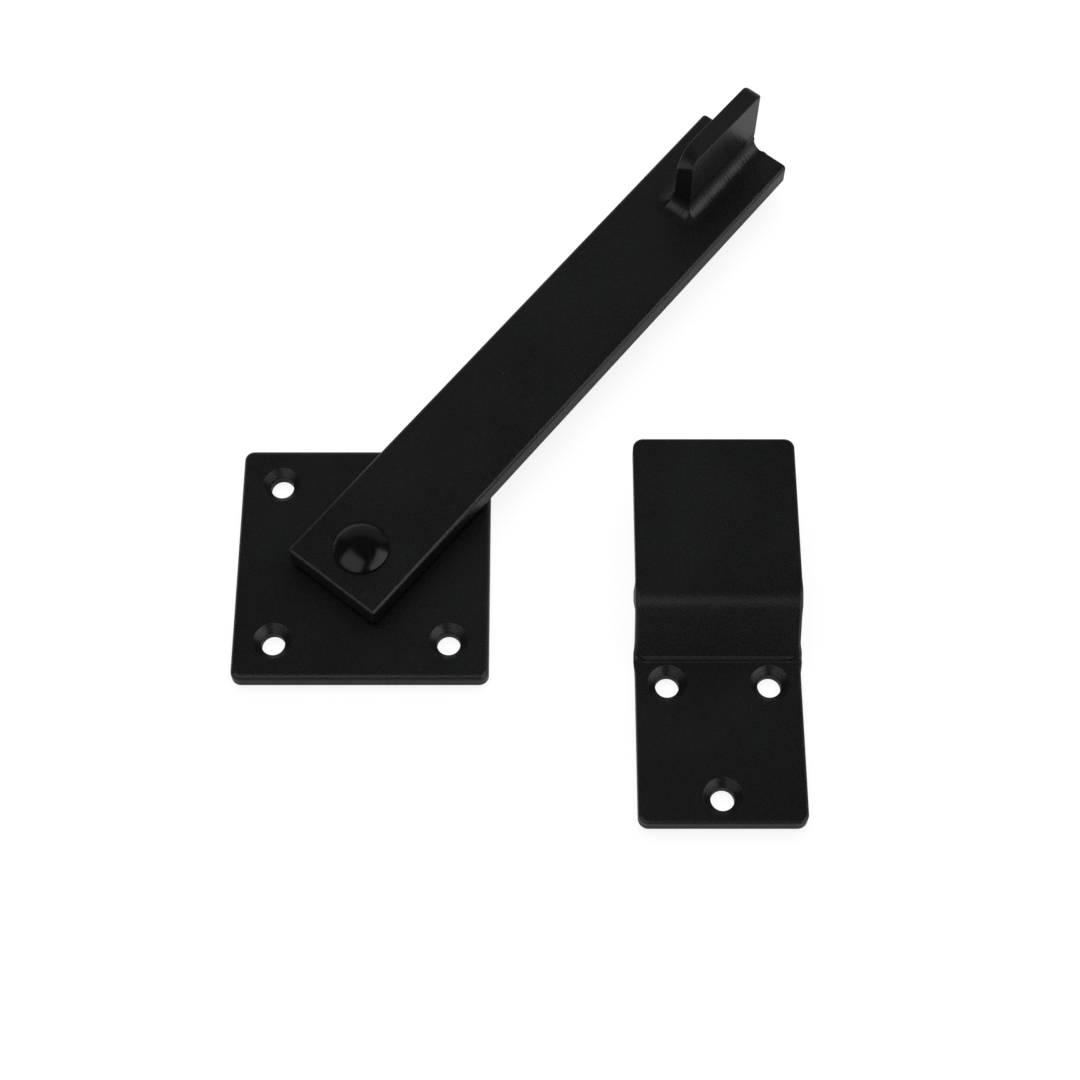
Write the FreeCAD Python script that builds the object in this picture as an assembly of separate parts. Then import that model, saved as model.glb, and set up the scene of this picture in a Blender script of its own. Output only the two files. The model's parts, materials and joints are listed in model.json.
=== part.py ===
import FreeCAD, Part
import math
import os

# Flip-bar latch for a door or gate, lying on its back as laid out for a catalogue picture.
# Origin: on the pivot axis, at the back of the mounting plate.
# +X points from the plate to the keeper, +Y up the door, +Z out of the door. Millimetres.

# Driving dimensions: screw holes, shared by plate and keeper
SCREW_HOLE_DIAMETER = 5.2
COUNTERSINK_DIAMETER = 8.7

# Driving dimensions: mounting plate
PLATE_SIDE = 57.0
PLATE_THICKNESS = 4.0
PLATE_CORNER_RADIUS = 2.2
PLATE_EDGE_RADIUS = 1.4
PLATE_BACK_CHAMFER = 0.3
PLATE_HOLE_SPACING = 39.0

# Driving dimensions: pivot
SHANK_DIAMETER = 7.9
RIVET_HEAD_DIAMETER = 12.7
RIVET_HEAD_HEIGHT = 3.3
RIVET_HEAD_RIM = 0.5
RIVET_TAIL_DIAMETER = 11.5
RIVET_TAIL_DEPTH = 1.8
WASHER_DIAMETER = 18.0
WASHER_THICKNESS = 0.6
PIVOT_CLEARANCE = 0.08
WASHER_CLEARANCE = 0.1
AXIAL_PLAY = 0.1

# Driving dimensions: latch bar
BAR_WIDTH = 25.4
BAR_THICKNESS = 6.35
BAR_REACH = 143.5
BAR_NEAR_END = 10.6
BAR_EDGE_RADIUS = 1.1
BAR_END_RADIUS = 0.8
BAR_REST_ANGLE = 51.0

# Driving dimensions: thumb lug and its weld
LUG_LENGTH = 27.0
LUG_THICKNESS = 4.6
LUG_NEAR_HEIGHT = 19.6
LUG_FAR_HEIGHT = 18.6
LUG_NEAR_CORNER_RADIUS = 3.0
LUG_FAR_CORNER_RADIUS = 2.8
LUG_OVERHANG = 0.8
LUG_LEAN = 1.0
HEEL_NOTCH_RADIUS = 3.5
HEEL_NOTCH_HEIGHT = 0.8
HEEL_NOTCH_STANDOFF = 2.7
HEEL_NOTCH_WIDTH = 12.0
GRIND_LENGTH = 4.6
GRIND_DEPTH = 6.0
GRIND_FAR_SIDE_SHARE = 0.32
WELD_LEG = 4.4
WELD_TOE = 0.25
WELD_END_SETBACK = 0.3

# Driving dimensions: keeper
KEEPER_CENTRE_X = 79.0
KEEPER_WIDTH = 36.5
KEEPER_THICKNESS = 4.0
KEEPER_TONGUE = 37.5
KEEPER_PAD = 49.5
KEEPER_CORNER_RADIUS = 2.3
KEEPER_EDGE_RADIUS = 0.8
KEEPER_BACK_CHAMFER = 0.3
KEEPER_RISER_ANGLE = 50.0
KEEPER_INNER_BEND_RADIUS = 2.5
KEEPER_ROOT_FILLET = 1.8
KEEPER_BAR_COVER = 0.5
KEEPER_FLOOR_GAP = 0.3
KEEPER_PAIR_SPACING = 22.5
KEEPER_PAIR_FROM_END = 32.0
KEEPER_SINGLE_FROM_END = 6.0

# Heights of the stack, from the door outwards
bar_bottom = PLATE_THICKNESS + WASHER_THICKNESS + AXIAL_PLAY
bar_top = bar_bottom + BAR_THICKNESS
head_seat = bar_top + AXIAL_PLAY

Z_AXIS = FreeCAD.Vector(0, 0, 1)
ORIGIN = FreeCAD.Vector(0, 0, 0)


def vec(x, y, z=0.0):
    return FreeCAD.Vector(x, y, z)


def prism(corners, direction):
    """Closed polygon, extruded along a vector."""
    wire = Part.makePolygon(corners + corners[:1])
    return Part.Face(wire).extrude(direction)


def revolved(profile):
    """Closed profile of (radius, height) points, turned about the Z axis."""
    points = [vec(radius, 0, height) for radius, height in profile]
    return Part.Face(Part.makePolygon(points + points[:1])).revolve(ORIGIN, Z_AXIS, 360)


def rounded_slab(x_low, x_high, y_low, y_high, z_low, z_high, corner_radius):
    """Flat piece with rounded corners in plan."""
    slab = Part.makeBox(x_high - x_low, y_high - y_low, z_high - z_low, vec(x_low, y_low, z_low))
    return slab.makeFillet(corner_radius, [edge for edge in slab.Edges if edge_runs_along(edge, "z")])


def edge_runs_along(edge, axis):
    """True for a straight edge that is parallel to the x, y or z axis."""
    return abs(getattr(edge.tangentAt(edge.FirstParameter), axis)) > 1 - 1e-9


def edges_at_height(solid, height):
    """Edges that lie wholly at one height."""
    return [edge for edge in solid.Edges
            if abs(edge.BoundBox.ZMin - height) < 1e-6 and abs(edge.BoundBox.ZMax - height) < 1e-6]


def screw_hole(x, y, thickness):
    """Cutter for one countersunk screw hole through a piece that lies on the door."""
    hole_radius = SCREW_HOLE_DIAMETER / 2
    sink_radius = COUNTERSINK_DIAMETER / 2
    sink_depth = sink_radius - hole_radius
    overshoot = 1.0
    cutter = revolved([
        (0, -overshoot),
        (hole_radius, -overshoot),
        (hole_radius, thickness - sink_depth),
        (sink_radius, thickness),
        (sink_radius, thickness + overshoot),
        (0, thickness + overshoot),
    ])
    cutter.translate(vec(x, y))
    return cutter


def make_mounting_plate():
    half = PLATE_SIDE / 2
    plate = rounded_slab(-half, half, -half, half, 0, PLATE_THICKNESS, PLATE_CORNER_RADIUS)
    plate = plate.makeFillet(PLATE_EDGE_RADIUS, edges_at_height(plate, PLATE_THICKNESS))
    plate = plate.makeChamfer(PLATE_BACK_CHAMFER, edges_at_height(plate, 0))
    offset = PLATE_HOLE_SPACING / 2
    for x in (-offset, offset):
        for y in (-offset, offset):
            plate = plate.cut(screw_hole(x, y, PLATE_THICKNESS))
    shank_radius = SHANK_DIAMETER / 2
    rivet_seat = revolved([
        (0, 0),
        (RIVET_TAIL_DIAMETER / 2, 0),
        (shank_radius, RIVET_TAIL_DEPTH),
        (shank_radius, PLATE_THICKNESS),
        (0, PLATE_THICKNESS),
    ])
    return plate.cut(rivet_seat)


def make_pivot_rivet():
    """Domed head, shank, and a tail peened flush into the back of the plate."""
    shank_radius = SHANK_DIAMETER / 2
    head_radius = RIVET_HEAD_DIAMETER / 2
    rim_top = head_seat + RIVET_HEAD_RIM
    dome_rise = RIVET_HEAD_HEIGHT - RIVET_HEAD_RIM
    dome_radius = (head_radius ** 2 + dome_rise ** 2) / (2 * dome_rise)
    dome_centre = rim_top + dome_rise - dome_radius
    half_angle = math.asin(head_radius / dome_radius) / 2
    crown = vec(0, 0, rim_top + dome_rise)
    shoulder = vec(dome_radius * math.sin(half_angle), 0, dome_centre + dome_radius * math.cos(half_angle))
    brim = vec(head_radius, 0, rim_top)
    outline = [
        vec(0, 0, 0),
        vec(RIVET_TAIL_DIAMETER / 2, 0, 0),
        vec(shank_radius, 0, RIVET_TAIL_DEPTH),
        vec(shank_radius, 0, head_seat),
        vec(head_radius, 0, head_seat),
        brim,
    ]
    edges = [Part.LineSegment(start, end).toShape() for start, end in zip(outline, outline[1:])]
    edges.append(Part.Arc(brim, shoulder, crown).toShape())
    edges.append(Part.LineSegment(crown, outline[0]).toShape())
    return Part.Face(Part.Wire(edges)).revolve(ORIGIN, Z_AXIS, 360)


def make_pivot_washer():
    inner = SHANK_DIAMETER / 2 + WASHER_CLEARANCE
    outer = WASHER_DIAMETER / 2
    return revolved([
        (inner, PLATE_THICKNESS),
        (outer, PLATE_THICKNESS),
        (outer, PLATE_THICKNESS + WASHER_THICKNESS),
        (inner, PLATE_THICKNESS + WASHER_THICKNESS),
    ])


def turned_to_rest(piece):
    """Swings a piece of the bar from shut (along +X) to the angle it is shown at."""
    piece.rotate(ORIGIN, Z_AXIS, BAR_REST_ANGLE)
    return piece


def make_latch_bar():
    """Flat bar with rolled long edges and lightly rounded ends, bored for the pivot."""
    bar = Part.makeBox(BAR_NEAR_END + BAR_REACH, BAR_WIDTH, BAR_THICKNESS,
                       vec(-BAR_NEAR_END, -BAR_WIDTH / 2, bar_bottom))
    long_edges = [edge for edge in bar.Edges if edge_runs_along(edge, "x")]
    bar = bar.makeFillet(BAR_EDGE_RADIUS, long_edges)
    end_loops = [edge for edge in bar.Edges if edge.BoundBox.XLength < 1e-6]
    bar = bar.makeFillet(BAR_END_RADIUS, end_loops)
    pivot_bore = Part.makeCylinder(SHANK_DIAMETER / 2 + PIVOT_CLEARANCE, BAR_THICKNESS, vec(0, 0, bar_bottom))
    return turned_to_rest(bar.cut(pivot_bore).cut(heel_notch()))


def lug_start():
    return BAR_REACH + LUG_OVERHANG - LUG_LENGTH


def heel_notch():
    """Cutter for the hollow across the bar's end, which lug, weld and bar share at the lug's heel."""
    centre = vec(BAR_REACH + HEEL_NOTCH_STANDOFF, -HEEL_NOTCH_WIDTH / 2, bar_top + HEEL_NOTCH_HEIGHT)
    return Part.makeCylinder(HEEL_NOTCH_RADIUS, HEEL_NOTCH_WIDTH, centre, vec(0, 1, 0))


def make_thumb_lug():
    """Upright tab whose far edge leans out over the bar's end, with its heel scooped out above the bar."""
    near = lug_start()
    far = BAR_REACH + LUG_OVERHANG
    side = -LUG_THICKNESS / 2
    foot = bar_top
    near_top = vec(near, side, foot + LUG_NEAR_HEIGHT)
    far_top = vec(far + LUG_LEAN, side, foot + LUG_FAR_HEIGHT)
    lug = prism([
        vec(near, side, foot),
        vec(far, side, foot),
        far_top,
        near_top,
    ], vec(0, LUG_THICKNESS, 0))
    for corner, radius in ((near_top, LUG_NEAR_CORNER_RADIUS), (far_top, LUG_FAR_CORNER_RADIUS)):
        lug = lug.makeFillet(radius, [edge for edge in lug.Edges if edge_starts_at(edge, corner)])
    lug = lug.cut(grinding_cutter(near, foot + LUG_NEAR_HEIGHT)).cut(heel_notch())
    return turned_to_rest(lug)


def edge_starts_at(edge, corner):
    """True for the edge across the thickness that ends at a corner of the outline."""
    ends = [vertex.Point for vertex in edge.Vertexes]
    return edge_runs_along(edge, "y") and any(end.distanceToPoint(corner) < 1e-6 for end in ends)


def grinding_cutter(near, top):
    """The near top corner is ground off by hand, deeper on one side than on the other."""
    margin = 1.0

    def corner_wire(side, share):
        low = vec(near, side, top - GRIND_DEPTH * share)
        high = vec(near + GRIND_LENGTH * share, side, top)
        slope = (high - low).normalize() * (2 * margin)
        outer = vec(near - 2 * margin, side, top + 2 * margin)
        return Part.makePolygon([low - slope, high + slope, outer, low - slope])

    deep_side = corner_wire(LUG_THICKNESS / 2 + margin, 1.0)
    shallow_side = corner_wire(-LUG_THICKNESS / 2 - margin, GRIND_FAR_SIDE_SHARE)
    return Part.makeLoft([deep_side, shallow_side], True, True)


def make_lug_weld():
    """Concave bead along both sides of the lug and round its near end."""
    near = lug_start()
    bead_end = BAR_REACH - WELD_END_SETBACK
    half = LUG_THICKNESS / 2
    belly = WELD_LEG - (WELD_LEG - WELD_TOE) * math.sqrt(0.5)

    def section(root, outward):
        """Bead section in the upright plane that holds the direction outward, with its root at the lug."""
        def at(distance, height):
            return root + outward * distance + vec(0, 0, height)
        toe = at(WELD_LEG, WELD_TOE)
        collar = at(WELD_TOE, WELD_LEG)
        edges = [
            Part.LineSegment(root, at(WELD_LEG, 0)).toShape(),
            Part.LineSegment(at(WELD_LEG, 0), toe).toShape(),
            Part.Arc(toe, at(belly, belly), collar).toShape(),
            Part.LineSegment(collar, at(0, WELD_LEG)).toShape(),
            Part.LineSegment(at(0, WELD_LEG), root).toShape(),
        ]
        return Part.Face(Part.Wire(edges))

    bead = None
    for side in (-1, 1):
        corner = vec(near, side * half, bar_top)
        straight = section(corner, vec(0, side, 0)).extrude(vec(bead_end - near, 0, 0))
        turn = section(corner, vec(0, side, 0)).revolve(corner, Z_AXIS, 90 * side)
        bead = straight if bead is None else bead.fuse(straight)
        bead = bead.fuse(turn)
    nose = section(vec(near, -half, bar_top), vec(-1, 0, 0)).extrude(vec(0, LUG_THICKNESS, 0))
    return turned_to_rest(bead.fuse(nose).removeSplitter().cut(heel_notch()))


def keeper_floor_y():
    """Height up the door of the corner inside the upper bend, where the shut bar comes to rest."""
    slope = math.radians(KEEPER_RISER_ANGLE)
    rounding_y = -BAR_WIDTH / 2 + BAR_EDGE_RADIUS
    drop = BAR_EDGE_RADIUS + KEEPER_BAR_COVER
    reach = (BAR_EDGE_RADIUS + KEEPER_FLOOR_GAP - drop * math.cos(slope)) / math.sin(slope)
    return rounding_y - reach


def rounded_path(corners, radii):
    """Edges of an open path in the YZ plane, with an arc of its own radius at each inner corner."""
    edges = []
    start = corners[0]
    for previous, corner, following, radius in zip(corners, corners[1:], corners[2:], radii):
        backward = (previous - corner).normalize()
        forward = (following - corner).normalize()
        half_angle = backward.getAngle(forward) / 2
        setback = radius / math.tan(half_angle)
        bisector = (backward + forward).normalize()
        arc_start = corner + backward * setback
        arc_end = corner + forward * setback
        arc_middle = corner + bisector * (radius / math.sin(half_angle) - radius)
        edges.append(Part.LineSegment(start, arc_start).toShape())
        edges.append(Part.Arc(arc_start, arc_middle, arc_end).toShape())
        start = arc_end
    edges.append(Part.LineSegment(start, corners[-1]).toShape())
    return edges


def make_keeper():
    """Strap joggled outwards, so that its tongue stands clear of the bar that drops in behind it."""
    slope = math.radians(KEEPER_RISER_ANGLE)
    left = KEEPER_CENTRE_X - KEEPER_WIDTH / 2
    tongue_back = bar_top + KEEPER_BAR_COVER
    tongue_front = tongue_back + KEEPER_THICKNESS
    floor_y = keeper_floor_y()
    top_y = floor_y + KEEPER_TONGUE
    end_y = floor_y - KEEPER_PAD
    riser_run = tongue_back / math.tan(slope)
    shift = KEEPER_THICKNESS * math.tan(slope / 2)

    back = [vec(left, end_y, 0), vec(left, floor_y - riser_run, 0),
            vec(left, floor_y, tongue_back), vec(left, top_y, tongue_back)]
    front = [vec(left, top_y, tongue_front), vec(left, floor_y - shift, tongue_front),
             vec(left, floor_y - riser_run - shift, KEEPER_THICKNESS), vec(left, end_y, KEEPER_THICKNESS)]
    lower_outer = KEEPER_ROOT_FILLET + KEEPER_THICKNESS
    upper_outer = KEEPER_INNER_BEND_RADIUS + KEEPER_THICKNESS
    edges = rounded_path(back, [lower_outer, KEEPER_INNER_BEND_RADIUS])
    edges.append(Part.LineSegment(back[-1], front[0]).toShape())
    edges += rounded_path(front, [upper_outer, KEEPER_ROOT_FILLET])
    edges.append(Part.LineSegment(front[-1], back[0]).toShape())
    strap = Part.Face(Part.Wire(edges)).extrude(vec(KEEPER_WIDTH, 0, 0))

    outline = rounded_slab(left, left + KEEPER_WIDTH, end_y, top_y, 0, tongue_front, KEEPER_CORNER_RADIUS)
    keeper = strap.common(outline)
    keeper = keeper.makeFillet(KEEPER_EDGE_RADIUS, strap_rims(keeper, 1))
    keeper = keeper.makeChamfer(KEEPER_BACK_CHAMFER, strap_rims(keeper, -1))

    pair_y = end_y + KEEPER_PAIR_FROM_END
    holes = [(KEEPER_CENTRE_X - KEEPER_PAIR_SPACING / 2, pair_y),
             (KEEPER_CENTRE_X + KEEPER_PAIR_SPACING / 2, pair_y),
             (KEEPER_CENTRE_X, end_y + KEEPER_SINGLE_FROM_END)]
    for x, y in holes:
        keeper = keeper.cut(screw_hole(x, y, KEEPER_THICKNESS))
    return keeper


def strap_rims(strap, side):
    """Edges round the strap's front surface (side 1) or its back surface (side -1)."""
    rims = []
    for face in strap.Faces:
        u_low, u_high, v_low, v_high = face.ParameterRange
        normal = face.normalAt((u_low + u_high) / 2, (v_low + v_high) / 2)
        if abs(normal.x) < 1e-6 and normal.z * side > 1e-6:
            rims += [edge for edge in face.Edges if not is_bend_line(edge)]
    return rims


def is_bend_line(edge):
    """True for the straight lines across the strap where a flat meets a bend."""
    return edge.BoundBox.XLength > KEEPER_WIDTH - 2 * KEEPER_EDGE_RADIUS - 1e-3 and edge_runs_along(edge, "x")


PIECES = {
    "mounting_plate": make_mounting_plate,
    "pivot_rivet": make_pivot_rivet,
    "pivot_washer": make_pivot_washer,
    "latch_bar": make_latch_bar,
    "thumb_lug": make_thumb_lug,
    "lug_weld": make_lug_weld,
    "keeper": make_keeper,
}

os.makedirs("parts", exist_ok=True)
for node, make_piece in PIECES.items():
    shape = make_piece()
    if shape.ShapeType != "Solid" and len(shape.Solids) == 1:
        shape = shape.Solids[0]
    print(node, "valid", shape.isValid(), "solids", len(shape.Solids), "volume", round(shape.Volume, 1))
    shape.exportStep("parts/" + node + ".step")
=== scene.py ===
# %% [markdown]
# # A flip-bar door latch in satin black
# The object is a blacksmith's latch laid out on a white table: a square plate with a flat bar riveted
# to its middle, a thumb lug welded upright on the bar's far end, and a joggled keeper that catches the
# bar on the door post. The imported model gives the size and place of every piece. This lesson dresses
# it: each visible piece is modelled again with its soft edges, bends and weld, and each finish is a
# small tree of procedural nodes. The photograph is squeezed sideways to about two thirds, because its
# round holes and its round rivet stand as upright ovals, all by the same share. The latch here keeps
# its true shape, so it looks wider than it does there.

import json
import math

import bmesh
import bpy
from mathutils import Matrix, Vector


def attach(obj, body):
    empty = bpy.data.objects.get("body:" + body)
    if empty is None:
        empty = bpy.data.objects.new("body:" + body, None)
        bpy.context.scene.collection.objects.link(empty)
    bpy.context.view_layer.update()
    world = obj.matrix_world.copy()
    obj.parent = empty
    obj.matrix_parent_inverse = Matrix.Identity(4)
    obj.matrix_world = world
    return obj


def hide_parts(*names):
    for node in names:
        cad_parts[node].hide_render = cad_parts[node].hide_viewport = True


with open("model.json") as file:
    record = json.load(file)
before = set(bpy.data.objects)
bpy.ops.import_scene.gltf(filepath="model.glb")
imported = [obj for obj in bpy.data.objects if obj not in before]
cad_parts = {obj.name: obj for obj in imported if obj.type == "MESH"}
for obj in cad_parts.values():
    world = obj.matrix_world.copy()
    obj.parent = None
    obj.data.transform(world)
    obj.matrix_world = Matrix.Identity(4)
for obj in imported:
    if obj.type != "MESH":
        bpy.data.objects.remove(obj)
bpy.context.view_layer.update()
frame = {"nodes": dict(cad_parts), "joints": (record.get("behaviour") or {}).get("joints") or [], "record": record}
MM = 0.001
TOUCH = 0.001 * MM
REST_ANGLE = -math.radians(frame["joints"][0]["range_deg"][0])

# %% [markdown]
# ## Measuring the frame
# A piece of the bar is easiest to model while the bar is shut, because it then lies square along X. So
# one helper reads the corners of a solid after turning it back about the pivot, and the finished piece
# is turned to rest again. It can also look at some of the points only, which tells how thick a bent
# strap is at one end.

# %% Read sizes from the solids
def corners(node, turned_back=0.0, where=lambda point: True):
    """Lowest and highest corner of the points of a solid, turned back, that pass a test."""
    turn = Matrix.Rotation(-turned_back, 3, "Z")
    points = [turn @ vertex.co for vertex in frame["nodes"][node].data.vertices]
    points = [point for point in points if where(point)]
    low = Vector([min(point[axis] for point in points) for axis in range(3)])
    high = Vector([max(point[axis] for point in points) for axis in range(3)])
    return low, high


def mount(name):
    """Place and sizes of a mounting interface, as the record holds them."""
    return next(entry for entry in frame["record"]["mounts"] if entry["name"] == name)


plate_low, plate_high = corners("mounting_plate")
bar_low, bar_high = corners("latch_bar", REST_ANGLE)
lug_low, lug_high = corners("thumb_lug", REST_ANGLE)
print("plate", [round(side / MM, 2) for side in plate_high - plate_low])
print("bar", [round(side / MM, 2) for side in bar_high - bar_low])

# %% [markdown]
# ## The camera
# The photograph looks down on the latch from the front, about 26 degrees off the vertical, with a long
# lens. A camera could be matched by eye, but here it follows from the perspective of the plate and the
# keeper, whose sides draw together towards the top. A small helper places it by its height angle and
# its distance.

# %% Place the camera
LENS = 69.0
CAMERA_ELEVATION = math.radians(64.2)
CAMERA_DISTANCE = 473.7 * MM
CAMERA_TARGET = Vector((39.8, 7.3, 0.0)) * MM


def sight(azimuth, elevation):
    """Unit vector from the object towards something seen at an azimuth (0 is the front, +90 the right)."""
    return Vector((math.sin(azimuth) * math.cos(elevation),
                   -math.cos(azimuth) * math.cos(elevation),
                   math.sin(elevation)))


def aim(thing, target, azimuth, elevation, distance):
    """Puts a camera or lamp at a distance from its target and turns it to face it."""
    direction = sight(azimuth, elevation)
    thing.location = target + direction * distance
    thing.rotation_euler = direction.to_track_quat("Z", "Y").to_euler()


camera_data = bpy.data.cameras.new("studio_camera")
camera_data.lens = LENS
camera = bpy.data.objects.new("studio_camera", camera_data)
bpy.context.scene.collection.objects.link(camera)
aim(camera, CAMERA_TARGET, 0.0, CAMERA_ELEVATION, CAMERA_DISTANCE)
bpy.context.scene.camera = camera
bpy.context.scene.view_settings.view_transform = "Standard"
print("camera at", [round(value / MM, 1) for value in camera.location])

# %% [markdown]
# ## Colours and nodes
# Colours are written as the hex values that a paint program shows, and one function makes them linear,
# because Blender mixes light in linear values. Another adds a node with its own choices, its fixed
# inputs and its links, so that a material reads as a list of what feeds what.

# %% Colour and node helpers
def colour(hex_code):
    """Linear RGBA from an sRGB hex value such as #1b1c1c."""
    channels = [int(hex_code[start:start + 2], 16) / 255 for start in (1, 3, 5)]
    linear = [value / 12.92 if value <= 0.04045 else ((value + 0.055) / 1.055) ** 2.4 for value in channels]
    return (*linear, 1.0)


def add_node(tree, kind, inputs=None, links=None, **choices):
    """Adds a node with its choices, the fixed values of its inputs and the sockets that feed it."""
    node = tree.nodes.new(kind)
    for name, value in choices.items():
        setattr(node, name, value)
    for socket, value in (inputs or {}).items():
        node.inputs[socket].default_value = value
    for socket, source in (links or {}).items():
        tree.links.new(source, node.inputs[socket])
    return node


def new_material(name):
    """Empty material with its node tree."""
    material = bpy.data.materials.new(name)
    material.use_nodes = True
    material.node_tree.nodes.clear()
    return material


print("white", colour("#ffffff"), "mid grey", [round(value, 3) for value in colour("#808080")])

# %% [markdown]
# ## Table and surroundings
# The photograph has a pure white ground. More light would bleach the object too, so only what the
# camera sees of the floor and the world is lifted to white. Every other ray meets a pale table in a dim
# room, which is what the black paint reflects; gloss sees a part of the white too. The table keeps a
# share of its own shading in the camera's view near the latch, so a soft shadow stays, and fades to
# plain white farther out.

# %% Floor and world
FLOOR_RADIUS = 4.0
FLOOR_DROP = 0.02 * MM
SHADOW_SHARE = 0.25
SHADOW_REACH = 0.3
MIRRORED_SHARE = 0.12
TABLE_GLOW = 1.16
ROOM_LIGHT = 0.045


def make_table_material():
    """Pale laminate: matt, with faint cloudiness, lifted to white for the camera alone."""
    material = new_material("pale_laminate_table")
    tree = material.node_tree
    place = add_node(tree, "ShaderNodeTexCoord")
    cloud = add_node(tree, "ShaderNodeTexNoise", {"Scale": 8.0, "Detail": 2.0},
                     {"Vector": place.outputs["Object"]})
    tone = add_node(tree, "ShaderNodeMix", {"A": colour("#cbcbca"), "B": colour("#d0d0d0")},
                    {"Factor": cloud.outputs["Fac"]}, data_type="RGBA")
    matt = add_node(tree, "ShaderNodeBsdfDiffuse", {}, {"Color": tone.outputs["Result"]})
    shaded = add_node(tree, "ShaderNodeBsdfDiffuse", {"Color": colour("#ffffff")})
    glow = add_node(tree, "ShaderNodeEmission", {"Color": colour("#ffffff"), "Strength": TABLE_GLOW})
    reach = add_node(tree, "ShaderNodeVectorMath", {}, {0: place.outputs["Object"]}, operation="LENGTH")
    share = add_node(tree, "ShaderNodeMapRange", {"From Min": SHADOW_REACH, "From Max": 2 * SHADOW_REACH,
                                                  "To Min": SHADOW_SHARE, "To Max": 0.0},
                     {"Value": reach.outputs["Value"]})
    seen = add_node(tree, "ShaderNodeMixShader", {},
                    {"Fac": share.outputs[0], 1: glow.outputs[0], 2: shaded.outputs[0]})
    ray = add_node(tree, "ShaderNodeLightPath")
    looked_at = add_node(tree, "ShaderNodeMath", {1: MIRRORED_SHARE},
                         {0: ray.outputs["Is Glossy Ray"], 2: ray.outputs["Is Camera Ray"]},
                         operation="MULTIPLY_ADD")
    both = add_node(tree, "ShaderNodeMixShader", {},
                    {"Fac": looked_at.outputs[0], 1: matt.outputs[0], 2: seen.outputs[0]})
    add_node(tree, "ShaderNodeOutputMaterial", {}, {"Surface": both.outputs[0]})
    return material


bpy.ops.object.select_all(action="DESELECT")
bpy.ops.mesh.primitive_circle_add(vertices=128, radius=FLOOR_RADIUS, fill_type="NGON",
                                  location=(0, 0, -FLOOR_DROP))
floor = bpy.context.object
floor.name = "table_top"
floor.data.materials.append(make_table_material())

world = bpy.data.worlds.new("dim_room")
world.use_nodes = True
world.node_tree.nodes.clear()
room_ray = add_node(world.node_tree, "ShaderNodeLightPath")
room = add_node(world.node_tree, "ShaderNodeBackground",
                {"Color": colour("#ffffff"), "Strength": ROOM_LIGHT})
white = add_node(world.node_tree, "ShaderNodeBackground", {"Color": colour("#ffffff"), "Strength": 1.0})
surround = add_node(world.node_tree, "ShaderNodeMixShader", {},
                    {"Fac": room_ray.outputs["Is Camera Ray"], 1: room.outputs[0], 2: white.outputs[0]})
add_node(world.node_tree, "ShaderNodeOutputWorld", {}, {"Surface": surround.outputs[0]})
bpy.context.scene.world = world
print("floor radius", FLOOR_RADIUS, "room light", ROOM_LIGHT)

# %% [markdown]
# ## Lamps
# The gloss rivet is a little round mirror, and it shows how the studio was lit: a soft box low on the
# left, a brighter one low on the right, a dark gap between them in front, a dim wall behind and a dark
# ceiling. They are built here as lamps that only reflections see. A lamp could light matt and gloss
# alike, but then the slope of the keeper, which faces the boxes, would turn paler than its flats. So a
# ceiling lamp that no reflection sees brings the matt part of every colour to a plain level.

# %% Soft boxes
LAMP_TARGET = Vector((40.0, 0.0, 0.0)) * MM


def add_soft_box(name, azimuth, elevation, width, height, radiance, roll=0.0, mirrored=True):
    """Rectangular lamp one metre away, with a face of a given radiance that may lean sideways."""
    lamp_data = bpy.data.lights.new(name, "AREA")
    lamp_data.shape = "RECTANGLE"
    lamp_data.size = width
    lamp_data.size_y = height
    lamp_data.energy = math.pi * width * height * radiance
    lamp = bpy.data.objects.new(name, lamp_data)
    bpy.context.scene.collection.objects.link(lamp)
    aim(lamp, LAMP_TARGET, math.radians(azimuth), math.radians(elevation), 1.0)
    lamp.rotation_euler.rotate_axis("Z", math.radians(roll))
    lamp.visible_camera = False
    lamp.visible_glossy = mirrored
    lamp.visible_diffuse = not mirrored
    print(name, "power", round(lamp_data.energy, 2))


add_soft_box("soft_box_left", -41, 42, 1.25, 0.92, 0.88)
add_soft_box("soft_box_right", 64, 23, 1.30, 0.80, 1.30, roll=12)
add_soft_box("back_wall", 176, 22, 2.40, 0.85, 0.18)
add_soft_box("ceiling", 180, 60, 1.60, 1.60, 1.62, mirrored=False)

# %% [markdown]
# ## Satin black powder coat
# The plate, bar and keeper are steel with a baked powder coat. Dry powder melts and flows, so it rounds
# every edge and sets with a faint orange peel of about a millimetre, on top of a grain of a few tenths.
# The black is not even: it drifts slightly over centimetres, and a few pale specks of dust lie on it. A
# picture texture could show that, but noise in object coordinates has no seams and keeps its real size
# everywhere.

# %% Powder coat
PEEL_SIZE = 1.1 * MM
PEEL_HEIGHT = 0.05 * MM
GRAIN_SIZE = 0.34 * MM
GRAIN_HEIGHT = 0.07 * MM
DRIFT_SIZE = 22 * MM
DUST_SPACING = 6.5 * MM
DUST_RADIUS = 0.11 * MM
DUST_FREE_SHARE = 0.55


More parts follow.
